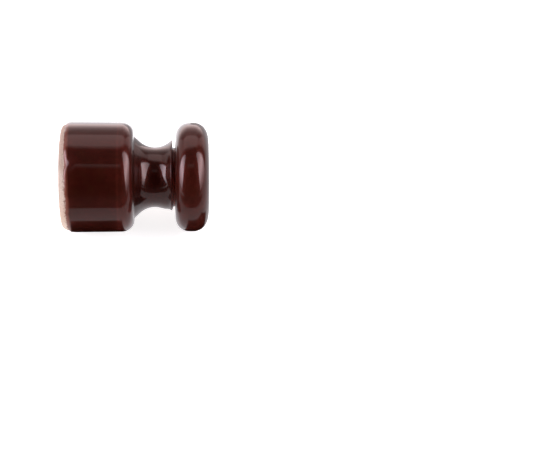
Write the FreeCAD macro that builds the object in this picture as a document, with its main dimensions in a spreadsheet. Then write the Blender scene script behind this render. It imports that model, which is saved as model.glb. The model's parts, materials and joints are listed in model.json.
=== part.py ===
"""Porcelain knob insulator for surface-run cable: a fired body with a screw bore, and its glaze coat.

Frame, in millimetres: the origin is the centre of the flat seat, where the bore opens. +X runs along the
bore, out of the wall and towards the head. +Z is up. The knob is a body of revolution about X.
"""

import FreeCAD, Part
import Sketcher
import math
import os
import sys

SHEET = "Sizes"
FULL_TURN = 360.0

# The driving dimensions. "x" is a distance along the bore from the seat, and "r" a radius from its axis.
# They are sizes of the finished surface, which is glazed everywhere but at the seat, the foot and the bore.
SIZES = {
    "bore_r": 2.4,
    "countersink_r": 4.1,
    "lip_rounding": 0.5,
    "glaze_thickness": 0.17,
    "glaze_line_x": 0.95,
    "foot_rounding": 0.75,
    "barrel_foot_r": 8.77,
    "barrel_shoulder_r": 8.71,
    "shoulder_x": 9.25,
    "shoulder_length": 1.87,
    "hollow_radius": 0.3,
    "waist_x": 14.55,
    "waist_r": 4.8,
    "waist_curve": 3.45,
    "collar_x": 17.3,
    "collar_rounding": 0.25,
    "notch_r": 4.6,
    "head_back_x": 17.8,
    "rim_back_x": 20.0,
    "rim_front_x": 20.8,
    "rim_r": 8.69,
    "face_x": 23.1,
    "face_r": 5.69,
}


class Length:
    """A size that carries both its number and the spreadsheet expression that gives it."""

    def __init__(self, value, text):
        self.value = value
        self.text = text

    def __add__(self, other):
        return Length(self.value + other.value, f"({self.text} + {other.text})")

    def __sub__(self, other):
        return Length(self.value - other.value, f"({self.text} - {other.text})")

    def __mul__(self, other):
        return Length(self.value * other.value, f"({self.text} * {other.text})")

    def __truediv__(self, other):
        return Length(self.value / other.value, f"({self.text} / {other.text})")


NOTHING = Length(0.0, "0")
HALF = Length(0.5, "0.5")

# A rounding across a 45 degree turn starts this many of its radii before the corner, and ends on a slope
# whose normal has this much of its length along each axis.
REACH_AT_45 = Length(math.sqrt(2.0) - 1.0, "(sqrt(2) - 1)")
SHARE_AT_45 = Length(math.sqrt(0.5), "sqrt(0.5)")

# The waist's two flanks rise 3 for every 4 along the bore. A flank's normal has these shares along and
# across the bore.
FLANK_ALONG = Length(0.6, "0.6")
FLANK_ACROSS = Length(0.8, "0.8")


def make_sheet(doc):
    """Writes the driving dimensions to the spreadsheet and returns them as Lengths, by name."""
    sheet = doc.addObject("Spreadsheet::Sheet", SHEET)
    lengths = {}
    for row, (name, value) in enumerate(SIZES.items(), start=1):
        sheet.set(f"A{row}", name)
        sheet.set(f"B{row}", str(value))
        sheet.setAlias(f"B{row}", name)
        lengths[name] = Length(value, f"{SHEET}.{name}")
    doc.recompute()
    return lengths


class Outline:
    """A closed outline in a body's XZ plane, drawn stretch by stretch, with each point bound to the sheet.

    The sketch's own x runs along the bore and its y is the radius. Each point has a name, and its two
    distances from the origin are constraints called NAME_x and NAME_r.
    """

    ORIGIN = (-1, 1)
    SEAT_LINE = -2
    START, END, CENTRE = 1, 2, 3

    def __init__(self, body, name, x, r):
        self.sketch = body.newObject("Sketcher::SketchObject", name)
        self.sketch.AttachmentSupport = (origin_plane(body, "XZ_Plane"), "")
        self.sketch.MapMode = "FlatFace"
        self.first = (x, r)
        self.here = vector(x, r)
        self.first_end = None
        self.last_end = None

    def bind(self, name, constraint, length):
        """Adds a constraint whose size follows the sheet."""
        index = self.sketch.addConstraint(constraint)
        self.sketch.renameConstraint(index, name)
        self.sketch.setExpression(f"Constraints.{name}", length.text)

    def fix(self, name, place, x, r):
        """Ties a point's two distances from the origin to the sheet."""
        if x is NOTHING:
            self.sketch.addConstraint(Sketcher.Constraint("PointOnObject", *place, self.SEAT_LINE))
        else:
            self.bind(f"{name}_x", Sketcher.Constraint("DistanceX", *self.ORIGIN, *place, x.value), x)
        self.bind(f"{name}_r", Sketcher.Constraint("DistanceY", *self.ORIGIN, *place, r.value), r)

    def join(self, start, end, name, x, r):
        """Links a new stretch to the one before it, and fixes the point where it ends."""
        if self.last_end is None:
            self.first_end = start
        else:
            self.sketch.addConstraint(Sketcher.Constraint("Coincident", *self.last_end, *start))
        self.fix(name, end, x, r)
        self.last_end = end
        self.here = vector(x, r)

    def line_to(self, name, x, r):
        line = self.sketch.addGeometry(Part.LineSegment(self.here, vector(x, r)), False)
        self.join((line, self.START), (line, self.END), name, x, r)

    def add_arc(self, arc_type, curve, x, r):
        """Adds the part of a curve from the last point to (x, r), and returns it with its start and its end.

        A sketch's arcs all run anticlockwise, so one that the outline follows clockwise starts at its end.
        """
        there = vector(x, r)
        anticlockwise = (self.here - curve.Center).cross(there - curve.Center).z > 0
        angles = [curve.parameter(self.here), curve.parameter(there)]
        sides = [self.START, self.END]
        if not anticlockwise:
            angles.reverse()
            sides.reverse()
        arc = self.sketch.addGeometry(arc_type(curve, *angles), False)
        return arc, (arc, sides[0]), (arc, sides[1])

    def arc_to(self, name, x, r, centre, radius):
        """A circular arc of under half a turn."""
        circle = Part.Circle(vector(*centre), FreeCAD.Vector(0, 0, 1), radius.value)
        arc, start, end = self.add_arc(Part.ArcOfCircle, circle, x, r)
        self.join(start, end, name, x, r)
        self.bind(f"{name}_radius", Sketcher.Constraint("Radius", arc, radius.value), radius)

    def quarter_ellipse_to(self, name, x, r, centre):
        """A quarter of an ellipse whose axes lie along and across the bore."""
        middle = vector(*centre)
        along = FreeCAD.Vector(abs(x.value - self.here.x), 0, 0)
        across = FreeCAD.Vector(0, abs(r.value - self.here.y), 0)
        if across.Length > along.Length:
            ellipse = Part.Ellipse(middle + across, middle - along, middle)
            long_axis_direction = "Vertical"
        else:
            ellipse = Part.Ellipse(middle + along, middle + across, middle)
            long_axis_direction = "Horizontal"
        arc, start, end = self.add_arc(Part.ArcOfEllipse, ellipse, x, r)
        self.sketch.exposeInternalGeometry(arc)
        long_axis = arc + 1
        self.sketch.addConstraint(Sketcher.Constraint(long_axis_direction, long_axis))
        self.fix(f"{name}_centre", (arc, self.CENTRE), *centre)
        self.join(start, end, name, x, r)

    def close(self, name):
        """Draws the last line, back to the first point."""
        self.line_to(name, *self.first)
        self.sketch.addConstraint(Sketcher.Constraint("Coincident", *self.last_end, *self.first_end))


def vector(x, r):
    """A point of an outline: x along the bore, and r away from it."""
    return FreeCAD.Vector(x.value, r.value, 0)


def origin_plane(body, role):
    """One of a body's own origin planes, found by its role."""
    for feature in body.Origin.OriginFeatures:
        if feature.Role == role:
            return feature
    raise RuntimeError(f"{body.Label} has no {role}")


def waist_centre_r(size):
    return size["waist_r"] + size["waist_curve"]


def touching_flank_r(size, away, radius):
    """How far out a curve's centre lies when the curve touches a flank of the waist.

    Its centre is away from the waist's middle, along the bore. The radius of a bulge is less than nothing.
    """
    beyond_waist = away * FLANK_ALONG + radius - size["waist_curve"]
    return waist_centre_r(size) + beyond_waist / FLANK_ACROSS


def draw_shoulder(outline, size, inset):
    """The barrel's rounded shoulder, and the small hollow where it meets the waist's flank."""
    hollow_x = size["shoulder_x"] + size["shoulder_length"] + size["hollow_radius"]
    hollow_r = touching_flank_r(size, size["waist_x"] - hollow_x, size["hollow_radius"])
    radius = size["hollow_radius"] + inset
    outline.quarter_ellipse_to("shoulder_end", hollow_x - radius, hollow_r, (size["shoulder_x"], hollow_r))
    flank_x = hollow_x - radius * FLANK_ALONG
    flank_r = hollow_r - radius * FLANK_ACROSS
    outline.arc_to("hollow_end", flank_x, flank_r, (hollow_x, hollow_r), radius)


def draw_waist(outline, size, inset):
    """The cable groove: a straight flank, the round waist, its other flank, and a collar with a soft edge."""
    centre = (size["waist_x"], waist_centre_r(size))
    radius = size["waist_curve"] + inset
    waist_edge_r = centre[1] - radius * FLANK_ACROSS
    outline.line_to("waist_start", centre[0] - radius * FLANK_ALONG, waist_edge_r)
    outline.arc_to("waist_end", centre[0] + radius * FLANK_ALONG, waist_edge_r, centre, radius)

    edge_x = size["collar_x"] - size["collar_rounding"]
    edge_r = touching_flank_r(size, edge_x - size["waist_x"], NOTHING - size["collar_rounding"])
    edge_radius = size["collar_rounding"] - inset
    outline.line_to("flank_end", edge_x - edge_radius * FLANK_ALONG, edge_r + edge_radius * FLANK_ACROSS)
    outline.arc_to("collar", edge_x + edge_radius, edge_r, (edge_x, edge_r), edge_radius)


def draw_notch(outline, size, inset):
    """The narrow round-bottomed notch that the mould leaves between the collar and the head."""
    half_width = (size["head_back_x"] - size["collar_x"]) * HALF
    middle_x = size["collar_x"] + half_width
    middle_r = size["notch_r"] + half_width
    radius = half_width + inset
    outline.line_to("notch_wall", middle_x - radius, middle_r)
    outline.arc_to("notch_bottom", middle_x, middle_r - radius, (middle_x, middle_r), radius)
    outline.arc_to("notch_end", middle_x + radius, middle_r, (middle_x, middle_r), radius)


def draw_head(outline, size, inset):
    """The head: its flat back, a round flank up to the rim, and a longer one over to its flat face."""
    rim_r = size["rim_r"] - inset
    face_x = size["face_x"] - inset
    flank_radius = size["rim_back_x"] - size["head_back_x"]
    flank_r = size["rim_r"] - flank_radius
    outline.line_to("head_back", size["head_back_x"] + inset, flank_r)
    outline.arc_to("rim_back", size["rim_back_x"], rim_r, (size["rim_back_x"], flank_r), flank_radius - inset)
    outline.line_to("rim_front", size["rim_front_x"], rim_r)
    outline.quarter_ellipse_to("face_edge", face_x, size["face_r"], (size["rim_front_x"], size["face_r"]))


def draw_countersink(outline, size, inset):
    """The 90 degree countersink for the screw's head, behind a rounded lip."""
    lip_x = size["face_x"] - size["lip_rounding"]
    lip_r = size["countersink_r"] + size["lip_rounding"] * REACH_AT_45
    lip = (lip_x, lip_r)
    lip_radius = size["lip_rounding"] - inset
    lip_end_x = lip_x + lip_radius * SHARE_AT_45
    lip_end_r = lip_r - lip_radius * SHARE_AT_45
    outline.line_to("lip_start", size["face_x"] - inset, lip_r)
    outline.arc_to("lip_end", lip_end_x, lip_end_r, lip, lip_radius)
    outline.line_to("bore_end", lip_end_x - (lip_end_r - size["bore_r"]), size["bore_r"])


def draw_beyond_barrel(outline, size, inset):
    """Everything from the shoulder to the bore, with the finished surface moved inwards by inset."""
    draw_shoulder(outline, size, inset)
    draw_waist(outline, size, inset)
    draw_notch(outline, size, inset)
    draw_head(outline, size, inset)
    draw_countersink(outline, size, inset)


def revolve(body, name, sketch):
    """Turns an outline round the bore's axis."""
    solid = body.newObject("PartDesign::Revolution", name)
    solid.Profile = sketch
    solid.ReferenceAxis = (sketch, ["H_Axis"])
    solid.Angle = FULL_TURN
    sketch.Visibility = False
    return solid


def add_body(doc, name):
    body = doc.addObject("PartDesign::Body", name)
    body.Label = name
    return body


def make_core(doc, size):
    """The fired porcelain: bare at the seat, the foot and the bore, and under the glaze everywhere else."""
    core = add_body(doc, "porcelain_core")
    glaze = size["glaze_thickness"]
    rounding = size["foot_rounding"]
    foot_r = size["barrel_foot_r"] - glaze
    seat_r = foot_r - rounding
    outline = Outline(core, "core_outline", NOTHING, size["bore_r"])
    outline.line_to("seat_edge", NOTHING, seat_r)
    outline.arc_to("foot", rounding, foot_r, (rounding, seat_r), rounding)
    outline.line_to("bare_edge", size["glaze_line_x"], foot_r)
    outline.line_to("barrel_end", size["shoulder_x"], size["barrel_shoulder_r"] - glaze)
    draw_beyond_barrel(outline, size, glaze)
    outline.close("bore_start")
    revolve(core, "core_solid", outline.sketch)
    return core


def make_glaze(doc, size, core):
    """The glass coat: all that lies inside the glazed surface from the glaze line on, less the porcelain."""
    envelope = add_body(doc, "glaze_envelope")
    glaze = size["glaze_thickness"]
    line_x = size["glaze_line_x"]
    bare_r = size["barrel_foot_r"] - glaze
    outline = Outline(envelope, "glaze_outline", line_x, size["bore_r"])
    outline.line_to("glaze_line", line_x, bare_r)
    outline.arc_to("glaze_edge", line_x + glaze, size["barrel_foot_r"], (line_x + glaze, bare_r), glaze)
    outline.line_to("barrel_end", size["shoulder_x"], size["barrel_shoulder_r"])
    draw_beyond_barrel(outline, size, NOTHING)
    outline.close("bore_start")
    revolve(envelope, "glaze_envelope_solid", outline.sketch)

    coat = doc.addObject("Part::Cut", "glaze_coat")
    coat.Label = "glaze_coat"
    coat.Base = envelope
    coat.Tool = core
    return coat


def check(doc, nodes):
    """Stops the build if any object failed or any sub-part has no sound shape."""
    faults = []
    for item in doc.Objects:
        if "Invalid" in item.State or "Error" in item.State:
            faults.append(f"{item.Label}: {item.State}")
    for node in nodes:
        if node.Shape.isNull() or not node.Shape.isValid():
            faults.append(f"{node.Label}: no valid shape")
    if faults:
        sys.exit("; ".join(faults))


def main():
    os.makedirs("parts", exist_ok=True)
    doc = FreeCAD.newDocument("porcelain_insulator")
    size = make_sheet(doc)
    core = make_core(doc, size)
    glaze = make_glaze(doc, size, core)
    doc.recompute()
    nodes = [core, glaze]
    check(doc, nodes)
    for node in nodes:
        node.Shape.exportStep(f"parts/{node.Label}.step")
        box = node.Shape.BoundBox
        print(f"{node.Label}: {node.Shape.Volume:.1f} mm3, {len(node.Shape.Solids)} solid, {box}")


main()
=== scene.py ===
"""Looks for the porcelain knob insulator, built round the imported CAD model.

Two pieces replace the two CAD nodes: `biscuit`, the bare fired porcelain, and `glaze`, the brown glass coat.
Both are turned about the bore's axis, X, and carry the small unevenness of a pressed and fired piece.
Everything is in metres, in the CAD model's frame, with the knob lying on its side.
"""

import json
import math

import bpy
import numpy as np
from mathutils import Matrix, Vector, noise


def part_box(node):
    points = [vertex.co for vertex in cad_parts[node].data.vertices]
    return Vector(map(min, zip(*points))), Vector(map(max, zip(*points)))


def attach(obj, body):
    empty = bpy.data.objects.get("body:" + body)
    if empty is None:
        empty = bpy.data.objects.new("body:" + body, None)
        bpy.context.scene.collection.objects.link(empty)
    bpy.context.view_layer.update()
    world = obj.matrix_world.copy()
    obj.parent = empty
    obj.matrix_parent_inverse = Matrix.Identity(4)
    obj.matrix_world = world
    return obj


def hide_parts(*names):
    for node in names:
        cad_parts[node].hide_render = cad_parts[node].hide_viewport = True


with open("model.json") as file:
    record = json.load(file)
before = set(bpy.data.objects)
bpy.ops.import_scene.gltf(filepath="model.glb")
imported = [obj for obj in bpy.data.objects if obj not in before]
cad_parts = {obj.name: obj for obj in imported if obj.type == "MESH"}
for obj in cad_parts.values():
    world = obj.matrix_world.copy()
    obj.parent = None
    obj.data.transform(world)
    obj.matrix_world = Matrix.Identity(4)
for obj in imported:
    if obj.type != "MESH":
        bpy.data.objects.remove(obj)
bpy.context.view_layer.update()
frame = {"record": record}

MM = 0.001
QUARTER = math.pi / 2

# Sizes read from the frame.
core_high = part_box("porcelain_core")[1]
coat_low, coat_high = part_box("glaze_coat")
mounts = {mount["name"]: mount for mount in frame["record"]["mounts"]}
BORE_R = mounts["screw_bore"]["dims"]["r_mm"] * MM
BARREL_R = coat_high.z
FACE_X = coat_high.x
GLAZE = FACE_X - core_high.x
FLOOR_Z = coat_low.z
MIDDLE = Vector((FACE_X / 2, 0, 0))

# How finely the outline and the turn about the axis are divided. The glaze's inner surface, which is hidden,
# has one row for every few of the outer one.
STEP = 0.12 * MM
EDGE_STEP = 0.05 * MM
BORE_STEP = 0.48 * MM
LARGEST_TURN = math.radians(9)
INNER_STRIDE = 3
COLUMNS = 256
AROUND = np.linspace(0, 2 * math.pi, COLUMNS, endpoint=False)

# In these names of sizes, "x" is a distance along the bore from the seat, and "r" a radius from its axis.

# The foot's long soft rounding, and the line where the bare porcelain ends.
FOOT_LENGTH = 1.9 * MM
FOOT_DEPTH = 0.75 * MM
SEAT_R = BARREL_R - GLAZE - FOOT_DEPTH
GLAZE_LINE_X = 0.95 * MM

# The barrel's shoulder, and the small hollow after it.
SHOULDER_X = 9.25 * MM
SHOULDER_R = BARREL_R - 0.06 * MM
SHOULDER_LENGTH = 2.02 * MM
HOLLOW_RADIUS = 0.8 * MM

# The waist. The normals of its two flanks lean away from a radius by these angles.
WAIST_X = 14.55 * MM
WAIST_R = 4.8 * MM
WAIST_CURVE = 3.45 * MM
FIRST_FLANK = math.radians(43)
SECOND_FLANK = math.radians(40)

# The collar, and the narrow notch between it and the head.
COLLAR_X = 17.3 * MM
COLLAR_ROUNDING = 0.12 * MM
NOTCH_X = 17.58 * MM
NOTCH_R = 4.7 * MM
NOTCH_RADIUS = 0.16 * MM

# The head. Its two flanks are squarer than ellipses, whose squareness is 2.
HEAD_BACK_X = 17.8 * MM
RIM_X = 20.3 * MM
RIM_R = BARREL_R - 0.08 * MM
FACE_R = 5.1 * MM
BACK_SQUARENESS = 2.3
FRONT_SQUARENESS = 2.5

# The countersink and its rounded lip, and the bore's softened mouth in the seat.
COUNTERSINK_R = 4.1 * MM
LIP_ROUNDING = 0.5 * MM
MOUTH_ROUNDING = 0.15 * MM

# The glaze's rounded edge, and how its line wanders and frays along a foot that was dipped a little askew.
BEAD_LENGTH = 0.5 * MM
LINE_WANDER = 0.16 * MM
WANDER_WAVE = 2.4 * MM
FRAY_SHARE = 0.6
FRAY_WAVE = 0.7 * MM
WANDER_FADES_OVER = 1.6 * MM
DIP_SLANT = 0.3 * MM

# How far the whole piece and its melted surface stray from true, and how long their waves are.
UNEVENNESS = 0.035 * MM
UNEVENNESS_WAVE = 9 * MM
SLOW_RIPPLE = 0.007 * MM
SLOW_WAVE = 3.2 * MM
QUICK_RIPPLE = 0.0012 * MM
QUICK_WAVE = 1.1 * MM

# The fine rings that the shaping tool left, and the one raised ring before the shoulder.
FINE_RINGS = 0.0020 * MM
FINE_RING_WAVE = 0.42 * MM
FINE_RING_SEED = (3.7, 9.1)
RING_HEIGHT = 0.007 * MM
RING_X = 8.95 * MM
RING_WIDTH = 0.16 * MM

# The flat on the foot's rim: its angle round the axis, and where along the bore it starts and fades.
DENT_DEPTH = 0.38 * MM
DENT_ANGLE = math.radians(126)
DENT_WIDTH = math.radians(9)
DENT_STARTS = (-0.25 * MM, 0.6 * MM)
DENT_FADES = (0.5 * MM, 2.8 * MM)

# The side on which the collar is trimmed back, by how much at most, and the radii between which it sets in.
TRIMMED_SIDE = np.array([0, -0.616, -0.788])
TRIM_DEPTH = 0.6 * MM
TRIM_SETS_IN = (4.9 * MM, 5.9 * MM)

# The thinness that the glaze's colour follows: on flat stretches, and how much more it is over tight edges.
# The gain says how soon a bend counts as tight, and the spread over what length it is smoothed.
FLAT_THINNESS = 0.34
BEND_THINNESS = 0.33
BEND_GAIN = 1.6
BEND_SPREAD = 0.35 * MM

# How much painted shade darkens the waist's flanks, standing in for the dark glaze beside them that they
# reflect, and the distances from the waist's middle at which the flanks start and end.
FLANK_PAINTED_SHADE = 0.42
FLANK_STARTS = (1.7 * MM, 2.3 * MM)
FLANK_ENDS = (2.8 * MM, 3.4 * MM)

# Painted light: the notch, up to this radius, is given the palest red so that it does not come out black.
# The glaze is thinner on the raised ring.
NOTCH_PAINTED_LIGHT = 1.3
NOTCH_TOP_R = 6.0 * MM
RING_THINNESS = 0.28

# How far the washed-out edge of the glaze reaches from its line on the foot, and from the bore.
FOOT_WASH = 1.1 * MM
BORE_WASH = FOOT_WASH / 3

# Flecks of glaze thicken along the bare foot, from this far before the seat to this far past the glaze's
# line. On the seat there are none further in than this from its edge.
FLECK_MARGIN = 0.3 * MM
SEAT_FLECKS = 1.0 * MM

# How far apart in the noise two seeds are.
SEED_STRIDE = (7.31, 3.17, 5.71)


# ------------------------------------------------------------------ outline


def line(start, end, step=STEP):
    """Points from start up to, but not including, end."""
    count = max(1, round(math.dist(start, end) / step))
    return [
        (start[0] + (end[0] - start[0]) * i / count, start[1] + (end[1] - start[1]) * i / count)
        for i in range(count)
    ]


def curve(centre, half_x, half_r, first, last, squareness=2, step=STEP):
    """Points on an ellipse, or a squarer oval, from its first angle up to, but not including, its last."""
    sweep = last - first
    count = max(round(abs(sweep) * max(half_x, half_r) / step), round(abs(sweep) / LARGEST_TURN), 1)
    points = []
    for i in range(count):
        angle = first + sweep * i / count
        x_share, r_share = math.cos(angle), math.sin(angle)
        x = centre[0] + half_x * math.copysign(abs(x_share) ** (2 / squareness), x_share)
        r = centre[1] + half_r * math.copysign(abs(r_share) ** (2 / squareness), r_share)
        points.append((x, r))
    return points


def on_circle(centre, radius, angle):
    """The point of a circle at an angle from the bore's direction."""
    return centre[0] + radius * math.cos(angle), centre[1] + radius * math.sin(angle)


def touching_flank_r(away, radius, tilt):
    """How far out a curve's centre lies when the curve touches a flank of the waist.

    Its centre is away from the waist's middle, along the bore. The radius of a bulge is less than nothing.
    """
    beyond_waist = away * math.sin(tilt) + radius - WAIST_CURVE
    return WAIST_R + WAIST_CURVE + beyond_waist / math.cos(tilt)


def hollow_centre():
    """The centre of the small hollow between the shoulder and the waist's first flank."""
    x = SHOULDER_X + SHOULDER_LENGTH + HOLLOW_RADIUS
    return x, touching_flank_r(WAIST_X - x, HOLLOW_RADIUS, FIRST_FLANK)


def shoulder_points():
    """The rounded shoulder, and the small hollow that leads to the waist's flank."""
    hollow = hollow_centre()
    points = curve((SHOULDER_X, hollow[1]), SHOULDER_LENGTH, SHOULDER_R - hollow[1], QUARTER, 0)
    return points + curve(hollow, HOLLOW_RADIUS, HOLLOW_RADIUS, -math.pi, -QUARTER - FIRST_FLANK)


def waist_points():
    """A straight flank, the round waist, the other flank, and the collar's softened edge."""
    middle = (WAIST_X, WAIST_R + WAIST_CURVE)
    first, last = -QUARTER - FIRST_FLANK, -QUARTER + SECOND_FLANK
    points = line(on_circle(hollow_centre(), HOLLOW_RADIUS, first), on_circle(middle, WAIST_CURVE, first))
    points += curve(middle, WAIST_CURVE, WAIST_CURVE, first, last)

    edge_x = COLLAR_X - COLLAR_ROUNDING
    edge = (edge_x, touching_flank_r(edge_x - WAIST_X, -COLLAR_ROUNDING, SECOND_FLANK))
    facing = last + math.pi
    points += line(on_circle(middle, WAIST_CURVE, last), on_circle(edge, COLLAR_ROUNDING, facing))
    points += curve(edge, COLLAR_ROUNDING, COLLAR_ROUNDING, facing, 0)
    return points + line((COLLAR_X, edge[1]), (NOTCH_X - NOTCH_RADIUS, NOTCH_R + NOTCH_RADIUS))


def head_points():
    """The notch's round bottom, the head's back, its round flanks and its flat face."""
    notch_r = NOTCH_R + NOTCH_RADIUS
    flank = RIM_X - HEAD_BACK_X
    points = curve((NOTCH_X, notch_r), NOTCH_RADIUS, NOTCH_RADIUS, -math.pi, 0)
    points += line((NOTCH_X + NOTCH_RADIUS, notch_r), (HEAD_BACK_X, RIM_R - flank))
    points += curve((RIM_X, RIM_R - flank), flank, flank, math.pi, QUARTER, BACK_SQUARENESS)
    return points + curve((RIM_X, FACE_R), FACE_X - RIM_X, RIM_R - FACE_R, QUARTER, 0, FRONT_SQUARENESS)


def countersink_points():
    """The flat face's inner part, the rounded lip and the 90 degree cone down to the bore."""
    lip_x = FACE_X - LIP_ROUNDING
    lip_r = COUNTERSINK_R + LIP_ROUNDING * math.tan(math.pi / 8)
    cone_start = (lip_x + LIP_ROUNDING * math.sqrt(0.5), lip_r - LIP_ROUNDING * math.sqrt(0.5))
    cone_end = (FACE_X - COUNTERSINK_R + BORE_R, BORE_R)
    points = line((FACE_X, FACE_R), (FACE_X, lip_r))
    points += curve((lip_x, lip_r), LIP_ROUNDING, LIP_ROUNDING, 0, -math.pi / 4)
    return points + line(cone_start, cone_end, EDGE_STEP) + [cone_end]


def finished_outline():
    """The glazed surface from the foot to the bore's end, as if the glaze ran all the way to the foot."""
    half_x, half_r = FOOT_LENGTH + GLAZE, FOOT_DEPTH + GLAZE
    foot = curve((FOOT_LENGTH, SEAT_R), half_x, half_r, math.pi, QUARTER, step=EDGE_STEP)
    barrel = line((FOOT_LENGTH, BARREL_R), (SHOULDER_X, SHOULDER_R))
    beyond_barrel = shoulder_points() + waist_points() + head_points() + countersink_points()
    return np.array(foot + barrel + beyond_barrel)


def outline_normals(outline):
    """The outward direction at each point of an outline that runs from the foot to the head."""
    along = np.gradient(outline, axis=0)
    normals = np.stack([-along[:, 1], along[:, 0]], axis=1)
    return normals / np.linalg.norm(normals, axis=1)[:, None]


def distances_along(outline):
    steps = np.linalg.norm(np.diff(outline, axis=0), axis=1)
    return np.concatenate([[0], np.cumsum(steps)])


def smooth_step(value, low, high):
    """0 up to low, 1 from high on, and a smooth rise between them."""
    share = np.clip((value - low) / (high - low), 0, 1)
    return share * share * (3 - 2 * share)


# ------------------------------------------------------------------ turned meshes


def turn(outline):
    """Turns an outline's points, or its normals, into rows: one row round the axis for each of them."""
    x = np.repeat(outline[:, 0][:, None], COLUMNS, axis=1)
    y = outline[:, 1][:, None] * np.cos(AROUND)
    z = outline[:, 1][:, None] * np.sin(AROUND)
    return np.stack([x, y, z], axis=-1)


def noise_field(points, wavelength, seed):
    """Smooth noise from about -1 to 1 at each point."""
    offset = Vector([seed * stride for stride in SEED_STRIDE])
    flat = points.reshape(-1, 3) / wavelength
    values = [noise.noise(Vector(point) + offset) for point in flat]
    return np.array(values).reshape(points.shape[:-1])


def add_mesh(name, rows, material, node):
    """A closed turned mesh: the last row joins the first. It stands for one CAD node."""
    row_count = rows.shape[0]
    faces = []
    for i in range(row_count):
        below = i * COLUMNS
        above = (i + 1) % row_count * COLUMNS
        for j in range(COLUMNS):
            k = (j + 1) % COLUMNS
            faces.append((below + j, below + k, above + k, above + j))
    mesh = bpy.data.meshes.new(name)
    mesh.from_pydata(rows.reshape(-1, 3).tolist(), [], faces)
    mesh.shade_smooth()
    mesh.materials.append(material)
    piece = bpy.data.objects.new(name, mesh)
    bpy.context.scene.collection.objects.link(piece)
    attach(piece, "root")
    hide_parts(node)
    return piece


def add_attribute(piece, name, row_values):
    """A number for each row of a turned mesh, which its material reads by name."""
    attribute = piece.data.attributes.new(name, "FLOAT", "POINT")
    attribute.data.foreach_set("value", np.repeat(row_values, COLUMNS).astype(np.float32))


# ------------------------------------------------------------------ how the surface strays from true


def unevenness(points):
    """How far a pressed and fired knob strays from true, in metres."""
    return UNEVENNESS * noise_field(points, UNEVENNESS_WAVE, seed=1)


def waviness(points):
    """The slow and the quick ripple of a melted surface, in metres."""
    slow = SLOW_RIPPLE * noise_field(points, SLOW_WAVE, seed=2)
    return slow + QUICK_RIPPLE * noise_field(points, QUICK_WAVE, seed=3)


def raised_ring(x):
    """The share of its full height that the ring before the shoulder has at a distance along the bore."""
    return np.exp(-(((x - RING_X) / RING_WIDTH) ** 2))


def tool_rings(x):
    """How far the fine rings and the raised ring stand proud, in metres: one value a row."""
    fine = np.array([noise.noise(Vector((place / FINE_RING_WAVE, *FINE_RING_SEED))) for place in x])
    return FINE_RINGS * fine + RING_HEIGHT * raised_ring(x)


def foot_dent(points):
    """How far the foot's rim is flattened on one side, in metres."""
    x, y, z = np.moveaxis(points, -1, 0)
    near = np.exp(-(((np.arctan2(z, y) - DENT_ANGLE) / DENT_WIDTH) ** 2))
    along = smooth_step(x, *DENT_STARTS) * (1 - smooth_step(x, *DENT_FADES))
    return DENT_DEPTH * near * along


def trim_collar(rows):
    """Trims the collar under the head back on its lower front."""
    radius = np.linalg.norm(rows[..., 1:], axis=-1)
    outward = rows * [0, 1, 1] / np.maximum(radius, MM)[..., None]
    on_collar = (rows[..., 0] > WAIST_X) & (rows[..., 0] < NOTCH_X)
    share = on_collar * smooth_step(radius, *TRIM_SETS_IN) * np.clip(outward @ TRIMMED_SIDE, 0, 1)
    return rows - TRIM_DEPTH * share[..., None] * outward


def bead(distance):
    """The glaze's thickness at a distance from its edge: a quarter of an ellipse, then the full coat."""
    share = np.clip(distance / BEAD_LENGTH, 0, 1)
    return GLAZE * np.sqrt(1 - (1 - share) ** 2)


def glaze_line_shift(x):
    """How far the glaze's edge, and what is near it, wanders along the foot: a row of values for each x."""
    ring = turn(np.array([[0, BARREL_R]]))
    wander = noise_field(ring, WANDER_WAVE, seed=4) + FRAY_SHARE * noise_field(ring, FRAY_WAVE, seed=5)
    fade = 1 - smooth_step(x, GLAZE_LINE_X, GLAZE_LINE_X + WANDER_FADES_OVER)
    dipped_askew = DIP_SLANT * np.clip(np.sin(AROUND), 0, 1)[None] ** 2
    return (LINE_WANDER * wander - dipped_askew) * fade[:, None]


# ------------------------------------------------------------------ materials


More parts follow.
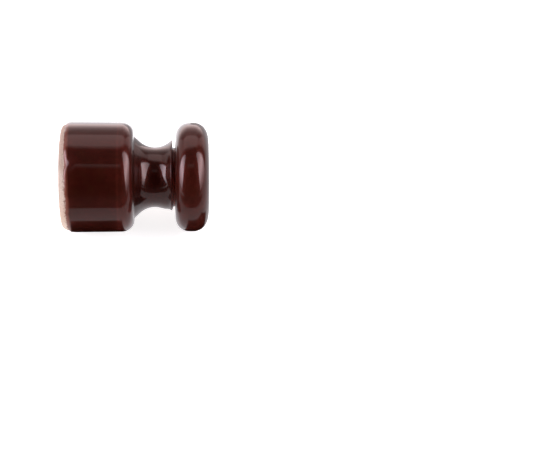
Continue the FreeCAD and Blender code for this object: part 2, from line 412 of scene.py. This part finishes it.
class Graph:
    """Short calls for the nodes of a material or of the world. Lengths are in millimetres."""

    def __init__(self, owner):
        owner.use_nodes = True
        self.nodes = owner.node_tree.nodes
        self.links = owner.node_tree.links
        self.place = None

    def feed(self, socket, value):
        """Gives an input a link from another node's output, a colour, or a number."""
        if isinstance(value, bpy.types.NodeSocket):
            self.links.new(value, socket)
        elif isinstance(value, tuple):
            socket.default_value = (*value, 1.0)
        else:
            socket.default_value = value

    def fill(self, node, values):
        """Gives a node's inputs their values, by name."""
        for name, value in values.items():
            self.feed(node.inputs[name], value)

    def millimetres(self):
        """The point on the piece, in millimetres. Its nodes are made once."""
        if self.place is None:
            scaled = self.nodes.new("ShaderNodeVectorMath")
            scaled.operation = "SCALE"
            scaled.inputs["Scale"].default_value = 1 / MM
            self.links.new(self.nodes.new("ShaderNodeTexCoord").outputs["Object"], scaled.inputs[0])
            self.place = scaled.outputs["Vector"]
        return self.place

    def noise(self, wavelength, detail, roughness=0.5):
        node = self.nodes.new("ShaderNodeTexNoise")
        self.fill(node, {"Scale": 1 / wavelength, "Detail": detail, "Roughness": roughness})
        self.feed(node.inputs["Vector"], self.millimetres())
        return node.outputs["Fac"]

    def patches(self, wavelength, detail, strength):
        """Noise that adds or takes away up to about half of its strength."""
        return self.math("MULTIPLY", self.math("SUBTRACT", self.noise(wavelength, detail), 0.5), strength)

    def attribute(self, name):
        node = self.nodes.new("ShaderNodeAttribute")
        node.attribute_name = name
        return node.outputs["Fac"]

    def split(self, vector):
        """The three parts of a vector."""
        node = self.nodes.new("ShaderNodeSeparateXYZ")
        self.feed(node.inputs[0], vector)
        return node.outputs

    def math(self, operation, first, second):
        node = self.nodes.new("ShaderNodeMath")
        node.operation = operation
        self.feed(node.inputs[0], first)
        self.feed(node.inputs[1], second)
        return node.outputs[0]

    def fit(self, value, given, wanted):
        """Maps the given range to the wanted one, and holds its ends outside."""
        node = self.nodes.new("ShaderNodeMapRange")
        for socket, number in zip(node.inputs, (value, *given, *wanted)):
            self.feed(socket, number)
        return node.outputs[0]

    def ramp(self, value, stops):
        """Colours between stops, each a position and its colour."""
        node = self.nodes.new("ShaderNodeValToRGB")
        self.feed(node.inputs["Fac"], value)
        elements = node.color_ramp.elements
        while len(elements) < len(stops):
            elements.new(1.0)
        for element, (position, colour) in zip(elements, stops):
            element.position = position
            element.color = (*colour, 1.0)
        return node.outputs["Color"]

    def mix(self, share, first, second):
        """The first colour, with a share of the second."""
        node = self.nodes.new("ShaderNodeMix")
        node.data_type = "RGBA"
        self.fill(node, {"Factor": share, "A": first, "B": second})
        return node.outputs["Result"]

    def bump(self, height, depth):
        """A normal for bumps whose height of 1 stands depth millimetres proud."""
        node = self.nodes.new("ShaderNodeBump")
        self.fill(node, {"Distance": depth * MM, "Height": height})
        return node.outputs["Normal"]

    def shine(self, colour, strength):
        """Makes the surface plain light."""
        self.nodes.remove(self.nodes["Principled BSDF"])
        emission = self.nodes.new("ShaderNodeEmission")
        self.fill(emission, {"Color": colour, "Strength": strength})
        self.links.new(emission.outputs[0], self.nodes["Material Output"].inputs["Surface"])


# The glaze, from where it pools to where it is thinnest, its brown patches, and its washed-out edge. The
# pooled colour also paints shade on the waist's flanks, and the palest red paints light into the notch.
POOLED_AND_PAINTED_SHADE = (0.011, 0.0013, 0.0008)
COATED = (0.024, 0.0034, 0.0020)
THIN = (0.050, 0.0080, 0.0052)
THINNEST_AND_PAINTED_LIGHT = (0.19, 0.032, 0.020)
UMBER = (0.024, 0.0065, 0.0026)
WASHED = (0.23, 0.075, 0.048)

# The bare porcelain's clouds, its darker grain, its faint dirt, and the flecks of glaze on it.
PINK_BISCUIT = (0.60, 0.45, 0.36)
CREAM_BISCUIT = (0.63, 0.51, 0.41)
PALE_BISCUIT = (0.72, 0.62, 0.53)
GRAIN = (0.45, 0.31, 0.24)
DIRT = (0.42, 0.30, 0.24)
FLECK = (0.17, 0.045, 0.028)


def glaze_material():
    """Clear glass over red-brown stain, darker where it pools and paler where it thins over the edges.
    Painted shade darkens the waist's flanks and painted light brightens the notch.

    The coat is the glass. The rougher layer under it is the stain, which glows red near each reflection.
    """
    material = bpy.data.materials.new("glaze")
    graph = Graph(material)
    clouds = graph.patches(wavelength=2.6, detail=3.0, strength=0.6)
    specks = graph.patches(wavelength=0.6, detail=2.0, strength=0.17)
    # The thinness attribute carries painted shade on the waist's flanks and painted light in the notch.
    thin_and_painted_shading = graph.math("ADD", graph.attribute("thin_and_painted_shading"), graph.math("ADD", clouds, specks))
    bent = FLAT_THINNESS + BEND_THINNESS
    stops = [(0.0, POOLED_AND_PAINTED_SHADE), (FLAT_THINNESS, COATED), (bent, THIN), (0.9, THIN), (1.0, THINNEST_AND_PAINTED_LIGHT)]
    umber_share = graph.fit(graph.noise(wavelength=1.7, detail=4.0, roughness=0.6), (0.45, 0.7), (0.0, 0.5))
    colour = graph.mix(umber_share, graph.ramp(thin_and_painted_shading, stops), UMBER)
    edge = graph.math("ADD", graph.attribute("edge"), graph.math("MULTIPLY", specks, 1.2))
    colour = graph.mix(graph.fit(edge, (0.35, 1.0), (0.0, 0.8)), colour, WASHED)
    graph.fill(graph.nodes["Principled BSDF"], {
        "Base Color": colour,
        "Roughness": 0.32,
        "IOR": 1.5,
        "Specular IOR Level": 0.38,
        "Specular Tint": (1.0, 0.2, 0.15),
        "Coat Weight": 1.0,
        "Coat Roughness": 0.045,
        "Coat IOR": 1.5,
    })
    return material


def biscuit_material():
    """Bare fired porcelain: pinkish cream, matt and slightly sandy, flecked with glaze close to its line."""
    material = bpy.data.materials.new("biscuit")
    graph = Graph(material)
    clouds = graph.noise(wavelength=3.1, detail=3.0)
    grain = graph.noise(wavelength=0.16, detail=2.0, roughness=0.7)
    colour = graph.ramp(clouds, [(0.3, PINK_BISCUIT), (0.5, CREAM_BISCUIT), (0.7, PALE_BISCUIT)])
    colour = graph.mix(graph.fit(grain, (0.4, 0.7), (0.0, 0.6)), colour, GRAIN)
    dirt = graph.noise(wavelength=0.8, detail=4.0, roughness=0.7)
    colour = graph.mix(graph.fit(dirt, (0.62, 0.75), (0.0, 0.5)), colour, DIRT)
    spatter = graph.math("SUBTRACT", graph.noise(wavelength=0.3, detail=3.0, roughness=0.65), 0.5)
    flecks = graph.math("ADD", graph.attribute("near_line"), spatter)
    colour = graph.mix(graph.fit(flecks, (0.75, 1.05), (0.0, 0.95)), colour, FLECK)
    sand = graph.math("ADD", grain, graph.noise(wavelength=0.5, detail=3.0, roughness=0.6))
    graph.fill(graph.nodes["Principled BSDF"], {
        "Base Color": colour,
        "Roughness": 0.85,
        "Specular IOR Level": 0.25,
        "Normal": graph.bump(sand, depth=0.03),
    })
    return material


# ------------------------------------------------------------------ the two pieces


def thinness_with_flank_shade(outline, normals, along):
    """About 0 in hollows, where glaze pools, a third on flat stretches, and two thirds over tight edges. It
    is lowered on the waist's flanks as painted shade.
    """
    angles = np.unwrap(np.arctan2(normals[:, 1], normals[:, 0]))
    bend_per_mm = -np.gradient(angles, along / MM)
    gaps = (along[:, None] - along[None, :]) / BEND_SPREAD
    weights = np.exp(-gaps * gaps / 2) * np.gradient(along)[None, :]
    smooth_bend = (weights * bend_per_mm[None, :]).sum(axis=1) / weights.sum(axis=1)
    # Painted shade: the waist's flanks are lowered towards the pooled colour.
    from_waist = np.abs(outline[:, 0] - WAIST_X)
    on_flank = smooth_step(from_waist, *FLANK_STARTS) * (1 - smooth_step(from_waist, *FLANK_ENDS))
    return FLAT_THINNESS + BEND_THINNESS * np.tanh(BEND_GAIN * smooth_bend) - FLANK_PAINTED_SHADE * on_flank


def glaze_tints(outline, normals, along):
    """What the glaze's colour follows, one value a row: how thinly it covers, with painted shade on the
    waist's flanks and painted light in the notch, and how near its edge.
    """
    thin_and_painted_shading = thinness_with_flank_shade(outline, normals, along)
    # Painted light: the notch gets the palest red, so that it does not come out black.
    in_notch = (np.abs(outline[:, 0] - NOTCH_X) < 2 * NOTCH_RADIUS) & (outline[:, 1] < NOTCH_TOP_R)
    thin_and_painted_shading[in_notch] = NOTCH_PAINTED_LIGHT
    thin_and_painted_shading += RING_THINNESS * raised_ring(outline[:, 0])
    from_foot = smooth_step(along - along[0], 0, FOOT_WASH)
    from_bore = smooth_step(along[-1] - along, 0, BORE_WASH)
    return {"thin_and_painted_shading": thin_and_painted_shading, "edge": 1 - np.minimum(from_foot, from_bore)}


def make_glaze(outline, normals, along):
    """The coat as a closed shell: its outer surface out to the bore, then its inner one back."""
    start = int(np.searchsorted(outline[:, 0], GLAZE_LINE_X))
    outline, normals, along = outline[start:], normals[start:], along[start:]
    build = bead(np.minimum(along - along[0], along[-1] - along))
    inner = outline - normals * GLAZE
    outer = inner + normals * build[:, None]
    backs = np.arange(len(outline) - 1, -1, -INNER_STRIDE)

    rows = trim_collar(turn(np.concatenate([outer, inner[backs]])))
    stray = unevenness(rows) - foot_dent(rows)
    ripples = waviness(rows[:len(outer)]) + tool_rings(outline[:, 0])[:, None]
    stray[:len(outer)] += ripples * (build / GLAZE)[:, None]
    rows = rows + turn(np.concatenate([normals, normals[backs]])) * stray[..., None]

    rows_x = np.concatenate([outline[:, 0], outline[backs, 0]])
    near_foot = rows_x < SHOULDER_X
    rows[near_foot, :, 0] += glaze_line_shift(rows_x[near_foot])
    piece = add_mesh("glaze", rows, glaze_material(), "glaze_coat")
    for name, values in glaze_tints(outline, normals, along).items():
        add_attribute(piece, name, np.concatenate([values, values[backs]]))


def make_biscuit(outline, normals):
    """The whole fired body: its seat, foot and bore, and the surface under the glaze."""
    under_glaze = outline - normals * GLAZE
    mouth_r = BORE_R + MOUTH_ROUNDING
    seat = curve((MOUTH_ROUNDING, mouth_r), MOUTH_ROUNDING, MOUTH_ROUNDING, -QUARTER, -math.pi)
    seat += line((0, mouth_r), (0, SEAT_R))
    bore = line(tuple(under_glaze[-1]), (MOUTH_ROUNDING, BORE_R), BORE_STEP)[1:]
    whole = np.concatenate([np.array(seat), under_glaze, np.array(bore)])

    rows = trim_collar(turn(whole))
    beyond_seat = whole[:, 1] > SEAT_R
    stray = unevenness(rows) - foot_dent(rows) * beyond_seat[:, None]
    rows = rows + turn(outline_normals(whole)) * stray[..., None]
    piece = add_mesh("biscuit", rows, biscuit_material(), "porcelain_core")
    near_line = smooth_step(whole[:, 0], -FLECK_MARGIN, GLAZE_LINE_X + FLECK_MARGIN)
    near_line[whole[:, 1] < SEAT_R - SEAT_FLECKS] = 0
    add_attribute(piece, "near_line", near_line)


def make_knob():
    outline = finished_outline()
    normals = outline_normals(outline)
    make_glaze(outline, normals, distances_along(outline))
    make_biscuit(outline, normals)


# ------------------------------------------------------------------ studio

WHITE = (1.0, 1.0, 1.0)
PINK = (0.94, 0.85, 0.90)
VIOLET = (0.93, 0.88, 1.0)
WARM = (1.0, 0.82, 0.81)
ROOM_LIGHT = (1.0, 0.78, 0.77)
CARD_WHITE = (1.0, 0.97, 1.0)

# The lit walls at the sides and the back stand this far from the axis, and their sizes follow from it.
WALL = 0.5

# Their outlines, in shares of their length and height: whole, or with clipped upper corners.
SQUARE = ((0, 0), (1, 0), (1, 1), (0, 1))
CLIPPED = ((0, 0), (1, 0), (1, 0.6), (0.8, 1), (0.6, 1), (0, 0.2))

# Their strengths by the share of their height, and then the share of it by the share of their length.
RIGHT_GLOW = (
    (0.0, 0.9), (0.08, 2.0), (0.2, 5.4), (0.3, 5.4), (0.4, 4.2), (0.55, 3.0), (0.75, 2.3), (1.0, 1.8),
)
LEFT_GLOW = (
    (0.0, 1.5), (0.1, 3.5), (0.2, 5.5), (0.28, 6.8), (0.4, 5.4), (0.6, 3.4), (0.8, 1.8), (1.0, 0.6),
)
BACK_GLOW = ((0.0, 2.2), (0.12, 1.9), (0.24, 1.3), (0.41, 0.65), (0.64, 0.36), (1.0, 0.36))
FRONT_GLOW = ((0.0, 0.0), (0.66, 0.0), (0.84, 0.34), (0.93, 0.34), (1.0, 0.0))
SOFT_SIDES = ((0.0, 0.0), (0.12, 1.0), (0.88, 1.0), (1.0, 0.0))
BACK_SIDES = ((0.0, 0.3), (0.3, 1.0), (0.75, 1.0), (1.0, 0.2))

# Level cards: two opposite corners, brightness, and height above the floor. Their sizes are in millimetres.
CARDS = {
    "front_card": ((-40, -25), (80, 0), 0.5, 0.02),
    "side_card": ((20, 0), (400, 400), 0.5, 0.02),
    "back_card": ((-400, 0), (20, 400), 1.4, 0.02),
    "dark_card_1": ((0.7, -11.5), (10.2, -3.2), 0.0, 0.05),
    "dark_card_2": ((18.8, -11.5), (30.0, -3.2), 0.0, 0.05),
    "right_card": ((80, -90), (500, 70), 0.5, 0.02),
    "left_card": ((-500, -110), (-40, 20), 0.9, 0.02),
    "white_card": ((10.2, -6.0), (18.8, 3.0), 0.65, 0.05),
}


def add_sheet(name, corners, material):
    """A flat piece of the stage with the given corners."""
    mesh = bpy.data.meshes.new(name)
    mesh.from_pydata(corners, [], [range(len(corners))])
    mesh.materials.append(material)
    sheet = bpy.data.objects.new(name, mesh)
    bpy.context.scene.collection.objects.link(sheet)
    return sheet


def only_in_reflections(sheet):
    sheet.visible_camera = False
    sheet.visible_diffuse = False
    sheet.visible_transmission = False
    sheet.visible_shadow = False


def level_corners(low, high, z):
    return [(x, y, z) for x, y in (low, (high[0], low[1]), high, (low[0], high[1]))]


def add_floor():
    """A white surface that glows a little, so that it comes out white beyond the knob's soft shadow."""
    reach = 3.0
    material = bpy.data.materials.new("floor")
    graph = Graph(material)
    graph.fill(graph.nodes["Principled BSDF"], {
        "Base Color": (0.86, 0.86, 0.86),
        "Roughness": 1.0,
        "Specular IOR Level": 0.0,
        "Emission Color": WHITE,
        "Emission Strength": 0.82,
    })
    floor = add_sheet("floor", level_corners((-reach, -reach), (reach, reach), FLOOR_Z), material)
    floor.visible_glossy = False


def add_card(name, low, high, brightness, above_floor):
    """A level card that only the glaze's reflections see. Its sizes are in millimetres."""
    material = bpy.data.materials.new(name)
    Graph(material).shine(CARD_WHITE, brightness)
    low, high = [side * MM for side in low], [side * MM for side in high]
    only_in_reflections(add_sheet(name, level_corners(low, high, FLOOR_Z + above_floor * MM), material))


def wall_material(name, colour, glow, sides):
    """Light that varies over a wall: a strength by height, times a share by its place from end to end."""
    material = bpy.data.materials.new(name)
    graph = Graph(material)
    place = graph.split(graph.nodes.new("ShaderNodeUVMap").outputs["UV"])
    peak = max(strength for height, strength in glow)
    by_height = graph.ramp(place["Y"], [(height, (strength / peak,) * 3) for height, strength in glow])
    by_length = graph.ramp(place["X"], [(side, (share,) * 3) for side, share in sides])
    graph.shine(colour, graph.math("MULTIPLY", graph.math("MULTIPLY", by_height, by_length), peak))
    return material


def add_wall(name, first, last, height, colour, glow, sides=SOFT_SIDES, outline=SQUARE):
    """A lit wall that the camera does not see, from the floor up, over the line from first to last."""
    corners = []
    for along, up in outline:
        x = first[0] + along * (last[0] - first[0])
        y = first[1] + along * (last[1] - first[1])
        corners.append((x, y, FLOOR_Z + up * height))
    wall = add_sheet(name, corners, wall_material(name, colour, glow, sides))
    spread = wall.data.uv_layers.new(name="spread")
    for corner, place in zip(spread.data, outline):
        corner.uv = place
    wall.visible_camera = False
    return wall


def add_top_panel():
    """A dim level light over the knob, a little behind it, that shines down evenly."""
    width, depth, radiance = 0.6, 0.36, 0.3
    light = bpy.data.lights.new("top_panel", "AREA")
    light.shape = "RECTANGLE"
    light.size = width
    light.size_y = depth
    light.energy = radiance * math.pi * width * depth
    light.color = WARM
    panel = bpy.data.objects.new("top_panel", light)
    panel.location = MIDDLE + Vector((-0.05, 0.31, 0.5))
    panel.visible_camera = False
    bpy.context.scene.collection.objects.link(panel)


def make_world():
    """White to the camera. To the knob, a dim room that is lighter behind it, above all behind its foot."""
    world = bpy.data.worlds.new("studio")
    bpy.context.scene.world = world
    graph = Graph(world)
    graph.nodes.clear()
    direction = graph.split(graph.nodes.new("ShaderNodeTexCoord").outputs["Generated"])
    rightward = graph.math("MAXIMUM", direction["X"], 0.0)
    backward = graph.math("ADD", graph.math("MULTIPLY", rightward, -0.4), direction["Y"])
    room = graph.nodes.new("ShaderNodeBackground")
    graph.fill(room, {"Color": ROOM_LIGHT, "Strength": graph.fit(backward, (0.12, 0.26), (0.05, 0.8))})
    white = graph.nodes.new("ShaderNodeBackground")
    graph.fill(white, {"Color": WHITE, "Strength": 1.0})
    pick = graph.nodes.new("ShaderNodeMixShader")
    graph.feed(pick.inputs["Fac"], graph.nodes.new("ShaderNodeLightPath").outputs["Is Camera Ray"])
    graph.feed(pick.inputs[1], room.outputs[0])
    graph.feed(pick.inputs[2], white.outputs[0])
    output = graph.nodes.new("ShaderNodeOutputWorld")
    graph.feed(output.inputs["Surface"], pick.outputs[0])


def make_studio():
    make_world()
    add_floor()
    right_ends = ((WALL, -0.9 * WALL), (WALL, 0.3 * WALL))
    left_ends = ((-WALL, -0.8 * WALL), (-WALL, 0.1 * WALL))
    back_ends = ((-0.9 * WALL, WALL), (0.8 * WALL, WALL))
    front_ends = ((-0.16, -0.25), (0.13, -0.25))
    add_wall("right_box", *right_ends, 2.6 * WALL, PINK, RIGHT_GLOW, outline=CLIPPED)
    add_wall("left_box", *left_ends, 2.2 * WALL, VIOLET, LEFT_GLOW, outline=CLIPPED)
    add_wall("back_wall", *back_ends, 0.98 * WALL, WARM, BACK_GLOW, BACK_SIDES)
    add_top_panel()
    only_in_reflections(add_wall("front_strip", *front_ends, 0.56, WARM, FRONT_GLOW))
    for name, card in CARDS.items():
        add_card(name, *card)


# ------------------------------------------------------------------ camera


def make_camera():
    """Looks down at the axis, square to it, then turns aside so that the knob sits above and to the left."""
    elevation = math.radians(38)
    distance = 208 * MM
    beside = 19.6 * MM
    pan = math.radians(3.8855)
    tilt = math.radians(2.1168)
    data = bpy.data.cameras.new("camera")
    data.lens = 85.0
    data.sensor_width = 36.0
    data.clip_start = 0.01
    camera = bpy.data.objects.new("camera", data)
    square_on = Matrix.Rotation(QUARTER - elevation, 3, "X")
    aside = Matrix.Rotation(-pan, 3, "Y") @ Matrix.Rotation(-tilt, 3, "X")
    place = Vector((beside, -distance * math.cos(elevation), distance * math.sin(elevation)))
    camera.matrix_world = Matrix.Translation(place) @ (square_on @ aside).to_4x4()
    bpy.context.scene.collection.objects.link(camera)
    bpy.context.scene.camera = camera


bpy.context.scene.view_settings.view_transform = "Standard"
make_knob()
make_studio()
make_camera()
